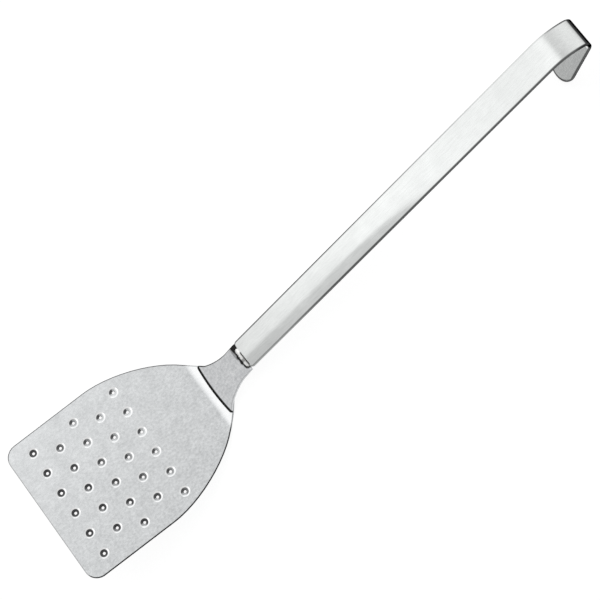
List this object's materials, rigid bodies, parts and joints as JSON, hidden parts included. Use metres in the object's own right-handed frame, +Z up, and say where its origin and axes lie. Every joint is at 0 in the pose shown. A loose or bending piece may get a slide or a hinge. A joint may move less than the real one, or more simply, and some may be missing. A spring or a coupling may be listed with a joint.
{
  "type": "perforated kitchen turner",
  "caption": "Long-handled stainless turner with a wide flat blade pierced by staggered round drain holes, a flared neck plate and a strip handle rolled into a hanging hook.",
  "frame": {"origin": "middle of the turner's box on the worktop that it lies on", "axes": "+X from the blade towards the hook, +Y to the left, +Z up; it lies as set down, on its heel and the tip of its hook"},
  "size_m": [0.4422, 0.1036, 0.0403],
  "materials": {
    "blade_steel": "satin stainless sheet",
    "neck_steel": "satin stainless plate",
    "handle_steel": "bright satin stainless strip",
    "weld_metal": "as-welded stainless, brushed off"
  },
  "bodies": {
    "root": {"blade": "blade_steel", "neck": "neck_steel", "handle": "handle_steel", "mouth_weld": "weld_metal", "blade_weld_right": "weld_metal", "blade_weld_left": "weld_metal", "blade_weld_rear": "weld_metal", "tang_weld_front": "weld_metal", "tang_weld_rear": "weld_metal"}
  },
  "joints": []
}
